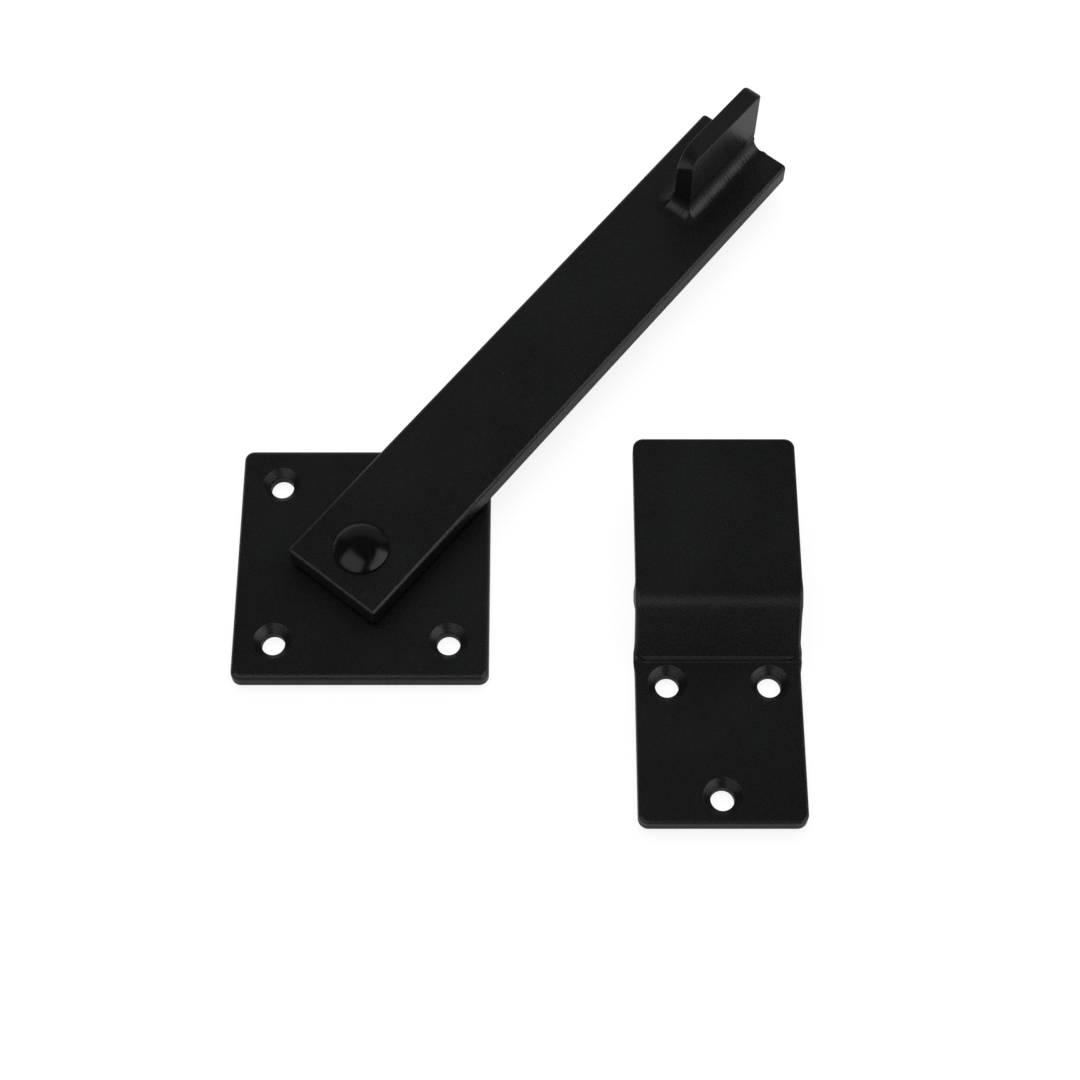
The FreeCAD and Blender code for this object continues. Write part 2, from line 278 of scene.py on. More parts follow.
def make_powder_coat(name, dark, light, roughness, peel, grain):
    """Baked epoxy powder on steel: IOR 1.5, satin, with orange peel, grain, slow drift and dust."""
    material = new_material(name)
    tree = material.node_tree
    place = add_node(tree, "ShaderNodeTexCoord").outputs["Object"]
    drift = add_node(tree, "ShaderNodeTexNoise", {"Scale": 1 / DRIFT_SIZE, "Detail": 3.0},
                     {"Vector": place})
    speckle = add_node(tree, "ShaderNodeTexNoise",
                       {"Scale": 1 / GRAIN_SIZE, "Detail": 2.0, "Roughness": 0.6}, {"Vector": place})
    flow = add_node(tree, "ShaderNodeTexNoise", {"Scale": 1 / PEEL_SIZE, "Detail": 1.5}, {"Vector": place})

    # Colour: slow drift and fine speckle between two blacks, then dust
    mixed = add_node(tree, "ShaderNodeMix", {"Factor": 0.5},
                     {"A": drift.outputs["Fac"], "B": speckle.outputs["Fac"]}, data_type="FLOAT")
    spread = add_node(tree, "ShaderNodeMapRange", {"From Min": 0.36, "From Max": 0.64},
                      {"Value": mixed.outputs[0]})
    black = add_node(tree, "ShaderNodeMix", {"A": colour(dark), "B": colour(light)},
                     {"Factor": spread.outputs[0]}, data_type="RGBA")
    cells = add_node(tree, "ShaderNodeTexVoronoi", {"Scale": 1 / DUST_SPACING}, {"Vector": place})
    near = add_node(tree, "ShaderNodeMath", {1: DUST_RADIUS / DUST_SPACING}, {0: cells.outputs["Distance"]},
                    operation="LESS_THAN")
    some = add_node(tree, "ShaderNodeSeparateColor", {}, {"Color": cells.outputs["Color"]})
    chosen = add_node(tree, "ShaderNodeMath", {1: DUST_FREE_SHARE}, {0: some.outputs["Red"]},
                      operation="GREATER_THAN")
    dust = add_node(tree, "ShaderNodeMath", {}, {0: near.outputs[0], 1: chosen.outputs[0]},
                    operation="MULTIPLY")
    dusty = add_node(tree, "ShaderNodeMix", {"B": colour("#5c5c58")},
                     {"Factor": dust.outputs[0], "A": black.outputs["Result"]}, data_type="RGBA")

    # Gloss and relief: the grain dulls the coat in spots, and peel and grain lift it
    gloss = add_node(tree, "ShaderNodeMapRange",
                     {"From Min": 0.3, "From Max": 0.7,
                      "To Min": roughness - 0.06, "To Max": roughness + 0.08},
                     {"Value": speckle.outputs["Fac"]})
    peel_bump = add_node(tree, "ShaderNodeBump", {"Strength": peel, "Distance": PEEL_HEIGHT},
                         {"Height": flow.outputs["Fac"]})
    grain_bump = add_node(tree, "ShaderNodeBump", {"Strength": grain, "Distance": GRAIN_HEIGHT},
                          {"Height": speckle.outputs["Fac"], "Normal": peel_bump.outputs[0]})
    coat = add_node(tree, "ShaderNodeBsdfPrincipled", {"Metallic": 0.0, "IOR": 1.5},
                    {"Base Color": dusty.outputs["Result"], "Roughness": gloss.outputs[0],
                     "Normal": grain_bump.outputs[0]})
    add_node(tree, "ShaderNodeOutputMaterial", {}, {"Surface": coat.outputs[0]})
    return material


powder_coat = make_powder_coat("satin_black_powder_coat", "#121313", "#1a1b1b", 0.29, 0.5, 0.9)
weld_coat = make_powder_coat("powder_coat_over_weld", "#121313", "#1a1b1b", 0.28, 0.4, 0.4)
print("coats", powder_coat.name, weld_coat.name)

# %% [markdown]
# ## Gloss enamel and zinc
# The rivet was hammered after coating and then touched up with gloss black enamel by brush, so it is
# smoother and darker than the powder coat, with faint brush marks in its reflections. The washer under
# the bar is zinc plate: a metal, grey and slightly blue, with a fine crystalline cloudiness that varies
# its gloss.

# %% Enamel and zinc
BRUSH_WIDTH = 0.5 * MM
BRUSH_LENGTH = 6.0 * MM
BRUSH_HEIGHT = 0.02 * MM
SPANGLE_SIZE = 0.9 * MM


def make_gloss_enamel():
    """Brushed alkyd enamel: deep black, nearly a mirror, with brush marks along Y."""
    material = new_material("gloss_black_enamel")
    tree = material.node_tree
    place = add_node(tree, "ShaderNodeTexCoord").outputs["Object"]
    stretched = add_node(tree, "ShaderNodeMapping",
                         {"Scale": (1 / BRUSH_WIDTH, 1 / BRUSH_LENGTH, 1 / BRUSH_LENGTH)},
                         {"Vector": place})
    marks = add_node(tree, "ShaderNodeTexNoise", {"Scale": 1.0, "Detail": 3.0},
                     {"Vector": stretched.outputs[0]})
    tone = add_node(tree, "ShaderNodeMix", {"A": colour("#050606"), "B": colour("#0b0c0c")},
                    {"Factor": marks.outputs["Fac"]}, data_type="RGBA")
    gloss = add_node(tree, "ShaderNodeMapRange",
                     {"From Min": 0.3, "From Max": 0.7, "To Min": 0.16, "To Max": 0.28},
                     {"Value": marks.outputs["Fac"]})
    relief = add_node(tree, "ShaderNodeBump", {"Strength": 0.35, "Distance": BRUSH_HEIGHT},
                      {"Height": marks.outputs["Fac"]})
    enamel = add_node(tree, "ShaderNodeBsdfPrincipled", {"Metallic": 0.0, "IOR": 1.44},
                      {"Base Color": tone.outputs["Result"], "Roughness": gloss.outputs[0],
                       "Normal": relief.outputs[0]})
    add_node(tree, "ShaderNodeOutputMaterial", {}, {"Surface": enamel.outputs[0]})
    return material


def make_zinc_plate():
    """Electroplated zinc: metallic, light grey, with a soft spangle in its gloss."""
    material = new_material("bright_zinc_plate")
    tree = material.node_tree
    place = add_node(tree, "ShaderNodeTexCoord").outputs["Object"]
    spangle = add_node(tree, "ShaderNodeTexVoronoi", {"Scale": 1 / SPANGLE_SIZE}, {"Vector": place})
    tone = add_node(tree, "ShaderNodeMix", {"A": colour("#a9adb1"), "B": colour("#c3c6c8")},
                    {"Factor": spangle.outputs["Distance"]}, data_type="RGBA")
    gloss = add_node(tree, "ShaderNodeMapRange", {"To Min": 0.25, "To Max": 0.45},
                     {"Value": spangle.outputs["Distance"]})
    zinc = add_node(tree, "ShaderNodeBsdfPrincipled", {"Metallic": 1.0},
                    {"Base Color": tone.outputs["Result"], "Roughness": gloss.outputs[0]})
    add_node(tree, "ShaderNodeOutputMaterial", {}, {"Surface": zinc.outputs[0]})
    return material


gloss_enamel = make_gloss_enamel()
zinc_plate = make_zinc_plate()
print("finishes", gloss_enamel.name, zinc_plate.name)

# %% [markdown]
# ## Working in edit mode
# Each piece is modelled as by hand: add a primitive, go into edit mode, pick faces or edges, run an
# operator. Picking is done by a test on place or direction, since nobody clicks here. Three small
# helpers carry the routine: one starts a block at its size and place, one picks, and one finishes the
# mesh with smooth shading whose normals lean on the large faces, so that flats stay flat beside their
# rounded edges.

# %% Modelling helpers
SMOOTH_ANGLE = math.radians(32)
SHARP_ANGLE = math.radians(28)


def edit(piece):
    """Makes a piece the only selected one and opens its mesh."""
    bpy.ops.object.select_all(action="DESELECT")
    piece.select_set(True)
    bpy.context.view_layer.objects.active = piece
    bpy.ops.object.mode_set(mode="EDIT")


def start_block(name, low, high):
    """Adds a cube with two given corners and opens it for editing."""
    bpy.ops.object.select_all(action="DESELECT")
    bpy.ops.mesh.primitive_cube_add(size=1.0, location=(low + high) / 2, scale=high - low)
    piece = bpy.context.object
    piece.name = name
    piece.data.name = name
    bpy.ops.object.transform_apply(location=True, rotation=True, scale=True)
    edit(piece)
    return piece


def pick(kind, wanted):
    """Selects the vertices, edges or faces of the open mesh that pass a test, and nothing else."""
    bpy.ops.mesh.select_mode(type=kind)
    bpy.ops.mesh.select_all(action="DESELECT")
    mesh = bmesh.from_edit_mesh(bpy.context.edit_object.data)
    parts = {"VERT": mesh.verts, "EDGE": mesh.edges, "FACE": mesh.faces}[kind]
    chosen = [part for part in parts if wanted(part)]
    for part in chosen:
        part.select_set(True)
    mesh.select_flush_mode()
    bmesh.update_edit_mesh(bpy.context.edit_object.data)
    return len(chosen)


def upright(edge):
    """True for an edge that runs straight up."""
    run = edge.verts[1].co - edge.verts[0].co
    return abs(run.normalized().z) > 0.999


def on_rim(edge, side):
    """True for an edge between the front skin (side 1) or the back skin (side -1) and the wall round it."""
    leans = sorted(face.normal.z * side for face in edge.link_faces)
    return len(leans) == 2 and abs(leans[0]) < 0.25 and leans[1] > 0.3


def round_edges(radius, segments):
    """Bevels the picked edges to a round."""
    bpy.ops.mesh.bevel(offset=radius, offset_type="OFFSET", segments=segments, profile=0.5, affect="EDGES")


def apply_modifier(piece, kind, **choices):
    """Adds a modifier to a piece, sets it and applies it."""
    bpy.ops.object.select_all(action="DESELECT")
    piece.select_set(True)
    bpy.context.view_layer.objects.active = piece
    modifier = piece.modifiers.new(kind.lower(), kind)
    for name, value in choices.items():
        setattr(modifier, name, value)
    bpy.ops.object.modifier_apply(modifier=modifier.name)


def finish_piece(piece, material, body, slot, *nodes):
    """Closes the mesh, smooths it by angle with weighted normals, and ties it to what it stands for."""
    if bpy.context.mode != "OBJECT":
        bpy.ops.object.mode_set(mode="OBJECT")
    edit(piece)
    bpy.ops.mesh.select_all(action="SELECT")
    bpy.ops.mesh.remove_doubles(threshold=TOUCH)
    bpy.ops.mesh.normals_make_consistent(inside=False)
    bpy.ops.object.mode_set(mode="OBJECT")
    bpy.ops.object.shade_smooth_by_angle(angle=SMOOTH_ANGLE)
    apply_modifier(piece, "WEIGHTED_NORMAL", keep_sharp=True, weight=60)
    piece.data.materials.clear()
    piece.data.materials.append(material)
    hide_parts(*nodes)
    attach(piece, body)
    print(piece.name, "faces", len(piece.data.polygons), "stands for", ", ".join(nodes))


print("tools ready")

# %% [markdown]
# ## Countersunk screw holes
# Plate and keeper are drilled and countersunk for flat-head screws before coating, so each rim is
# softened by paint. A hole could be cut as a plain cone and bevelled afterwards, but a bevel along such
# small curved edges is fragile. So the cutter itself is turned to the softened outline, as on a lathe:
# a circle that is extruded and scaled from point to point, and then subtracted.

# %% Screw hole cutter
HOLE_RADIUS = mount("plate_screws")["dims"]["hole_r_mm"] * MM
SINK_RADIUS = 4.35 * MM
SINK_SOFT = 0.14 * MM
LIP_RADIUS = 0.28 * MM
CUTTER_SIDES = 72


def turned_outline(thickness):
    """Radius and height of a softened countersunk hole, from under the piece to above it."""
    cone_depth = SINK_RADIUS - HOLE_RADIUS
    cone_low = thickness - cone_depth
    points = [(HOLE_RADIUS + SINK_SOFT, -1.0 * MM),
              (HOLE_RADIUS + SINK_SOFT, 0.0),
              (HOLE_RADIUS, SINK_SOFT),
              (HOLE_RADIUS, cone_low - SINK_SOFT),
              (HOLE_RADIUS + 0.25 * SINK_SOFT, cone_low),
              (HOLE_RADIUS + SINK_SOFT, cone_low + SINK_SOFT)]
    lip = [math.radians(angle) for angle in (45, 60, 75, 90)]
    edge = SINK_RADIUS + LIP_RADIUS * math.tan(math.radians(22.5))
    points += [(edge - LIP_RADIUS * math.cos(angle), thickness - LIP_RADIUS * (1 - math.sin(angle)))
               for angle in lip]
    points.append((edge, thickness + 1.0 * MM))
    return points


def cut_screw_hole(piece, x, y, thickness):
    """Turns one cutter and subtracts it."""
    outline = turned_outline(thickness)
    radius, height = outline[0]
    bpy.ops.object.select_all(action="DESELECT")
    bpy.ops.mesh.primitive_circle_add(vertices=CUTTER_SIDES, radius=radius, fill_type="NGON",
                                      location=(x, y, height))
    cutter = bpy.context.object
    bpy.ops.object.transform_apply(location=True)
    edit(cutter)
    bpy.ops.mesh.select_all(action="SELECT")
    for next_radius, next_height in outline[1:]:
        bpy.ops.mesh.extrude_region_move(TRANSFORM_OT_translate={"value": (0, 0, next_height - height)})
        share = next_radius / radius
        bpy.ops.transform.resize(value=(share, share, 1), center_override=(x, y, next_height))
        radius, height = next_radius, next_height
    bpy.ops.mesh.select_all(action="SELECT")
    bpy.ops.mesh.normals_make_consistent(inside=False)
    bpy.ops.object.mode_set(mode="OBJECT")
    apply_modifier(piece, "BOOLEAN", operation="DIFFERENCE", solver="EXACT", object=cutter)
    bpy.data.objects.remove(cutter)


print("hole radius", HOLE_RADIUS / MM, "countersink radius", SINK_RADIUS / MM)

# %% [markdown]
# ## The mounting plate
# The plate is a square of flat bar with ground corners. Its upright corners are rounded first and its
# rims after that, so that the rim rounding follows round the corners. The front rim is the broad one
# that the photograph shows along the bottom, and the back rim is only broken.

# %% Model the plate
PLATE_CORNER = 2.2 * MM
PLATE_RIM = 1.4 * MM
BACK_RIM = 0.3 * MM

plate = start_block("mounting_plate_coated", plate_low, plate_high)
pick("EDGE", upright)
round_edges(PLATE_CORNER, 8)
pick("EDGE", lambda edge: on_rim(edge, 1))
round_edges(PLATE_RIM, 7)
pick("EDGE", lambda edge: on_rim(edge, -1))
round_edges(BACK_RIM, 2)
bpy.ops.object.mode_set(mode="OBJECT")
hole_pattern = mount("plate_screws")["dims"]
for x_side in (-0.5, 0.5):
    for y_side in (-0.5, 0.5):
        cut_screw_hole(plate, x_side * hole_pattern["spacing_x_mm"] * MM,
                       y_side * hole_pattern["spacing_y_mm"] * MM, plate_high.z)
finish_piece(plate, powder_coat, "mounting", "plate_powder_coat", "mounting_plate")

# %% [markdown]
# ## The rivet
# The pivot is one rivet: a low dome on the bar, a shank through bar, washer and plate, and a tail
# hammered into a countersink in the plate's back. A dome is a slice of a ball, so a sphere is bisected
# at the rim's height. Its open edge is then drawn down and in, segment by segment, until the tail
# closes it.

# %% Model the rivet
HEAD_RIM = 0.5 * MM
SHANK_RADIUS = 3.95 * MM
TAIL_RADIUS = 5.75 * MM
TAIL_DEPTH = 1.8 * MM

rivet_high = corners("pivot_rivet")[1]
head_radius = rivet_high.x
head_seat = corners("pivot_rivet", where=lambda point: point.x > head_radius - 0.01 * MM)[0].z
rim_top = head_seat + HEAD_RIM
dome_rise = rivet_high.z - rim_top
dome_radius = (head_radius ** 2 + dome_rise ** 2) / (2 * dome_rise)

bpy.ops.object.select_all(action="DESELECT")
bpy.ops.mesh.primitive_uv_sphere_add(segments=96, ring_count=96, radius=dome_radius,
                                     location=(0, 0, rivet_high.z - dome_radius))
rivet = bpy.context.object
rivet.name = rivet.data.name = "pivot_rivet_enamelled"
bpy.ops.object.transform_apply(location=True)
edit(rivet)
bpy.ops.mesh.select_all(action="SELECT")
bpy.ops.mesh.bisect(plane_co=(0, 0, rim_top), plane_no=(0, 0, 1), clear_inner=True, threshold=TOUCH)
radius, height = head_radius, rim_top
pick("VERT", lambda vertex: vertex.co.z < rim_top + TOUCH)
for next_radius, next_height in ((head_radius, head_seat), (SHANK_RADIUS, head_seat),
                                 (SHANK_RADIUS, TAIL_DEPTH), (TAIL_RADIUS, 0.0)):
    bpy.ops.mesh.extrude_region_move(TRANSFORM_OT_translate={"value": (0, 0, next_height - height)})
    share = next_radius / radius
    bpy.ops.transform.resize(value=(share, share, 1), center_override=(0, 0, next_height))
    radius, height = next_radius, next_height
bpy.ops.mesh.edge_face_add()
bpy.ops.object.mode_set(mode="OBJECT")
finish_piece(rivet, gloss_enamel, "mounting", "rivet_gloss_black", "pivot_rivet")

washer = frame["nodes"]["pivot_washer"]
washer.data.materials.clear()
washer.data.materials.append(zinc_plate)
print("dome radius", round(dome_radius / MM, 2))

# %% [markdown]
# ## The bar
# The bar is plain hot-rolled flat stock, an inch wide and a quarter thick. Rolling leaves its long
# edges round, and the sawn ends are only dressed with a file, so their rounding is smaller. After
# welding, a round file was run across the far end under the lug's heel, and left a hollow in bar, lug
# and bead alike. It could be modelled in each piece apart, but one roller with rounded ends, subtracted
# from all three, keeps them in line. The bar is modelled shut, along X, bored for the rivet's shank,
# and then swung to rest about the pivot.

# %% Model the bar
BAR_EDGE = 1.1 * MM
BAR_END = 0.8 * MM
BORE_PLAY = 0.08 * MM
BORE_CUTTER_LENGTH = 40 * MM
NOTCH_RADIUS = 3.5 * MM
NOTCH_HEIGHT = 0.8 * MM
NOTCH_STANDOFF = 2.7 * MM
NOTCH_WIDTH = 13.6 * MM
NOTCH_END_RADIUS = 2.4 * MM
NOTCH_RIM = 0.2 * MM


def swing_to_rest(piece):
    """Turns a piece of the shut bar about the pivot and keeps the turn in its mesh."""
    if bpy.context.mode != "OBJECT":
        bpy.ops.object.mode_set(mode="OBJECT")
    bpy.ops.object.select_all(action="DESELECT")
    piece.select_set(True)
    bpy.context.view_layer.objects.active = piece
    piece.rotation_euler.z = REST_ANGLE
    bpy.ops.object.transform_apply(rotation=True)


def runs_along_bar(edge):
    """True for an edge that is parallel to the shut bar."""
    run = edge.verts[1].co - edge.verts[0].co
    return abs(run.normalized().x) > 0.999


def at_bar_end(edge):
    """True for an edge that lies wholly in one end face of the shut bar."""
    return any(all(abs(vertex.co.x - end) < TOUCH for vertex in edge.verts)
               for end in (bar_low.x, bar_high.x))


def scoop_heel(piece):
    """Subtracts the hollow across the bar's end, which bar, lug and weld share at the lug's heel."""
    bpy.ops.object.select_all(action="DESELECT")
    axis_place = (bar_high.x + NOTCH_STANDOFF, 0, bar_high.z + NOTCH_HEIGHT)
    bpy.ops.mesh.primitive_cylinder_add(vertices=96, radius=NOTCH_RADIUS, depth=NOTCH_WIDTH,
                                        location=axis_place, rotation=(math.radians(90), 0, 0))
    roller = bpy.context.object
    bpy.ops.object.transform_apply(location=True, rotation=True)
    edit(roller)
    pick("EDGE", lambda edge: abs(edge.verts[0].co.y + edge.verts[1].co.y) > NOTCH_WIDTH - TOUCH)
    round_edges(NOTCH_END_RADIUS, 8)
    bpy.ops.mesh.select_all(action="SELECT")
    bpy.ops.mesh.normals_make_consistent(inside=False)
    bpy.ops.object.mode_set(mode="OBJECT")
    apply_modifier(piece, "BOOLEAN", operation="DIFFERENCE", solver="EXACT", object=roller)
    bpy.data.objects.remove(roller)


bar = start_block("latch_bar_coated", bar_low, bar_high)
pick("EDGE", runs_along_bar)
round_edges(BAR_EDGE, 6)
pick("EDGE", at_bar_end)
round_edges(BAR_END, 5)
bpy.ops.object.mode_set(mode="OBJECT")
bpy.ops.object.select_all(action="DESELECT")
bpy.ops.mesh.primitive_cylinder_add(vertices=96, radius=SHANK_RADIUS + BORE_PLAY, depth=BORE_CUTTER_LENGTH)
bore = bpy.context.object
apply_modifier(bar, "BOOLEAN", operation="DIFFERENCE", solver="EXACT", object=bore)
bpy.data.objects.remove(bore)
scoop_heel(bar)
apply_modifier(bar, "BEVEL", width=NOTCH_RIM, segments=3, limit_method="ANGLE", angle_limit=SHARP_ANGLE)
swing_to_rest(bar)
finish_piece(bar, powder_coat, "bar", "bar_powder_coat", "latch_bar")

# %% [markdown]
# ## The thumb lug
# The lug is a short end of thinner flat, stood on edge. Its far edge leans out over the bar's end, both
# top corners are rounded, and the near one was taken down on a grinder, wider on the left face than on
# the right. A bevel gives one radius on both faces. A cut with a plane is exactly what a grinding wheel
# does, so many bisect strokes, each tangent to both rounds, make that twisted corner, and a few more
# dress the far end. Every edge that is still sharp gets a small round.

# %% Model the lug
LUG_FAR_CORNER = 2.8 * MM
LUG_LEAN = 1.0 * MM
LUG_TOP_FALL = 1.0 * MM
DEEP_ROUND = 6.5 * MM
SHALLOW_ROUND = 2.8 * MM
GRIND_STROKES = range(6, 90, 7)
LUG_EDGE = 0.3 * MM
CORNER_REACH = 0.1 * MM
LUG_END_ROUND = 2.0 * MM
END_STROKES = range(10, 90, 14)

near_x = lug_low.x
far_x = lug_high.x - LUG_LEAN
lug_top = lug_high.z

lug = start_block("thumb_lug_coated", lug_low, Vector((far_x, lug_high.y, lug_top)))
pick("VERT", lambda vertex: vertex.co.x > far_x - TOUCH and vertex.co.z > lug_top - TOUCH)
bpy.ops.transform.translate(value=(LUG_LEAN, 0, -LUG_TOP_FALL))


def across_lug(edge, x, z):
    """True for the edge across the lug's thickness at a place in its side view."""
    corner = Vector((x, 0, z))
    return all((Vector((vertex.co.x, 0, vertex.co.z)) - corner).length < CORNER_REACH
               for vertex in edge.verts)


pick("EDGE", lambda edge: across_lug(edge, far_x + LUG_LEAN, lug_top - LUG_TOP_FALL))
round_edges(LUG_FAR_CORNER, 10)


def trim_end(angle, side):
    """One pass of a file down the far end, tangent to the round that its upright edge gets."""
    facing = Vector((math.cos(angle), side * math.sin(angle), 0))
    centre = Vector((lug_high.x - LUG_END_ROUND, side * (lug_high.y - LUG_END_ROUND), 0))
    bpy.ops.mesh.select_all(action="SELECT")
    bpy.ops.mesh.bisect(plane_co=centre + facing * LUG_END_ROUND, plane_no=facing, clear_outer=True,
                        use_fill=True, threshold=TOUCH)


for stroke in END_STROKES:
    trim_end(math.radians(stroke), 1)
    trim_end(math.radians(stroke), -1)


def grind(angle):
    """One pass of the wheel: a plane that touches a broad round at the left, a tight one at the right."""
    facing = Vector((-math.cos(angle), 0, math.sin(angle)))
    along = Vector((math.sin(angle), 0, math.cos(angle)))
    deep = Vector((near_x + DEEP_ROUND, lug_high.y, lug_top - DEEP_ROUND)) + facing * DEEP_ROUND
    shallow = Vector((near_x + SHALLOW_ROUND, lug_low.y, lug_top - SHALLOW_ROUND)) + facing * SHALLOW_ROUND
    wheel = along.cross(shallow - deep).normalized()
    wheel = wheel if wheel.z > 0 else -wheel
    bpy.ops.mesh.select_all(action="SELECT")
    bpy.ops.mesh.bisect(plane_co=deep, plane_no=wheel, clear_outer=True, use_fill=True, threshold=TOUCH)


for stroke in GRIND_STROKES:
    grind(math.radians(stroke))
pick("EDGE", lambda edge: len(edge.link_faces) == 2 and edge.calc_face_angle() > SHARP_ANGLE)
round_edges(LUG_EDGE, 4)
bpy.ops.object.mode_set(mode="OBJECT")
scoop_heel(lug)
swing_to_rest(lug)
finish_piece(lug, powder_coat, "bar", "bar_powder_coat", "thumb_lug")

# %% [markdown]
# ## The weld
# A concave fillet weld runs along both sides of the lug and round its near end. The welder's small
# circles leave overlapping ripples about a millimetre apart. One swept curve could give the bead, but
# its ripples would then only be painted on. So the section is drawn once, as a filled ring, and a loop
# extrudes it along the path in steps of a quarter of a millimetre, swelling and shrinking it as it
# goes.

# %% Weld sizes and section
WELD_LEG = corners("lug_weld", REST_ANGLE)[1].z - bar_high.z
WELD_TOE = 0.06 * MM
SECTION_STEPS = 12
RIPPLE_PITCH = 1.2 * MM
RIPPLE_STEPS = 5
RIPPLE_SWELL = 0.024
RIPPLE_MEAN = 0.6
BEAD_WANDER = 0.03
WANDER_LENGTH = 7.0 * MM
TAPER_LENGTH = 1.2 * MM
TAPER_SHARE = 0.12
BEAD_SHARE = 0.96

lug_side = lug_high.y
weld_end = corners("lug_weld", REST_ANGLE)[1].x


def weld_section():
    """Outward distance and height of the section's points, from the root round the hollow face."""
    hollow = WELD_LEG - WELD_TOE
    arc = [math.radians(90 * step / SECTION_STEPS) for step in range(SECTION_STEPS + 1)]
    face = [(WELD_LEG - hollow * math.sin(angle), WELD_LEG - hollow * math.cos(angle)) for angle in arc]
    return [(0.0, 0.0), (WELD_LEG, 0.0)] + face + [(0.0, WELD_LEG)]


def bead_swell(distance, length):
    """Share by which the bead's section is swollen at a distance along its path."""
    ripple = RIPPLE_SWELL * (abs(math.sin(math.pi * distance / RIPPLE_PITCH)) - RIPPLE_MEAN)
    wander = BEAD_WANDER * math.sin(2 * math.pi * distance / WANDER_LENGTH + 1.0)
    to_end = min(distance, length - distance)
    taper = TAPER_SHARE * max(0.0, 1 - to_end / TAPER_LENGTH) ** 2
    return (1 + ripple + wander - taper) * BEAD_SHARE


print("weld leg", round(WELD_LEG / MM, 2), "section points", len(weld_section()))

# %% Sweep the bead round the lug
TURN_PATH = 3.1 * MM
side_run = weld_end - near_x
path_length = 2 * side_run + 2 * lug_side + 2 * TURN_PATH
step_length = RIPPLE_PITCH / RIPPLE_STEPS

bpy.ops.object.select_all(action="DESELECT")
bpy.ops.mesh.primitive_circle_add(vertices=len(weld_section()), radius=WELD_LEG, fill_type="NGON")
weld = bpy.context.object
weld.name = weld.data.name = "lug_weld_coated"
for vertex, (outward, rise) in zip(weld.data.vertices, weld_section()):
    vertex.co = (weld_end, -lug_side - outward, bar_high.z + rise)
edit(weld)
bpy.ops.mesh.select_all(action="SELECT")

travelled = 0.0
swell = 1.0
for run, heading, turn_centre in ((side_run, Vector((-1, 0, 0)), None),
                                  (TURN_PATH, None, Vector((near_x, -lug_side, bar_high.z))),
                                  (2 * lug_side, Vector((0, 1, 0)), None),
                                  (TURN_PATH, None, Vector((near_x, lug_side, bar_high.z))),
                                  (side_run, Vector((1, 0, 0)), None)):
    steps = max(1, round(run / step_length))
    root = Vector((weld_end, -lug_side, bar_high.z)) if travelled == 0.0 else root
    for step in range(steps):
        travelled += run / steps
        if heading is None:
            bpy.ops.mesh.extrude_region_move()
            bpy.ops.transform.rotate(value=math.radians(90) / steps, orient_axis="Z",
                                     center_override=turn_centre)
        else:
            move = heading * (run / steps)
            bpy.ops.mesh.extrude_region_move(TRANSFORM_OT_translate={"value": move})
            root = root + move
        wanted_swell = bead_swell(travelled, path_length)
        share = wanted_swell / swell
        bpy.ops.transform.resize(value=(share, share, share), center_override=root)
        swell = wanted_swell
if bpy.context.mode != "OBJECT":
    bpy.ops.object.mode_set(mode="OBJECT")
scoop_heel(weld)
swing_to_rest(weld)
finish_piece(weld, weld_coat, "bar", "weld_powder_coat", "lug_weld")

# %% [markdown]
# ## The keeper
# The keeper is one strap, bent twice: flat on the post, up a slope, and flat again as a tongue that
# stands off far enough for the bar to drop in behind. A smith bends it round a former, so each bend is
# a spin about the former's axis, and the flats are extrusions between them. Bending thick steel
# squeezes the metal inside each bend sideways, and it bulges out a little. That is done with
# proportional editing, which pulls the neighbours along. The press tool that made the lower bend left
# its outline in the root: two fine ridges across, and a slanted one at each side. Bisect adds the
# points for the slanted ones, and the ridges are those points moved out a little.

# %% Keeper sizes
KEEPER_CORNER = 2.3 * MM
KEEPER_RIM = 0.8 * MM
ROOT_RADIUS = 1.8 * MM
INNER_BEND_RADIUS = 2.5 * MM
RISER_ANGLE = math.radians(50)
BEND_STEPS = 10
BULGE = 0.45 * MM
BULGE_REACH = 2.8 * MM
BULGE_PICK = 0.9 * MM
FINE_RUN = 6.0 * MM
FINE_STEPS = 6
ROOT_LINE = 0.18 * MM
ROOT_LINE_HEIGHT = 0.12 * MM
STROKE_RUN = 3.1 * MM
STROKE_HEIGHT = 0.22 * MM
ROOT_FACE_REACH = 1.2 * MM
ROOT_POINT_REACH = 0.75 * MM
END_SLICE = 5 * MM

keeper_low, keeper_high = corners("keeper")
keeper_thickness = corners("keeper", where=lambda point: point.y < keeper_low.y + END_SLICE)[1].z
tongue_back = corners("keeper", where=lambda point: point.y > keeper_high.y - END_SLICE)[0].z
riser_run = tongue_back / math.tan(RISER_ANGLE)
bend_corner = corners("keeper", where=lambda point: abs(point.z - tongue_back) < TOUCH)[0].y
floor_y = bend_corner - INNER_BEND_RADIUS * math.tan(RISER_ANGLE / 2)
print("keeper thickness", round(keeper_thickness / MM, 2), "tongue back", round(tongue_back / MM, 2),
      "floor", round(floor_y / MM, 2))

# %% Bend the strap
def extrude_straight(direction, length, steps=1):
    """Extrudes the picked end face along a direction."""
    for step in range(steps):
        bpy.ops.mesh.extrude_region_move(TRANSFORM_OT_translate={"value": direction * (length / steps)})


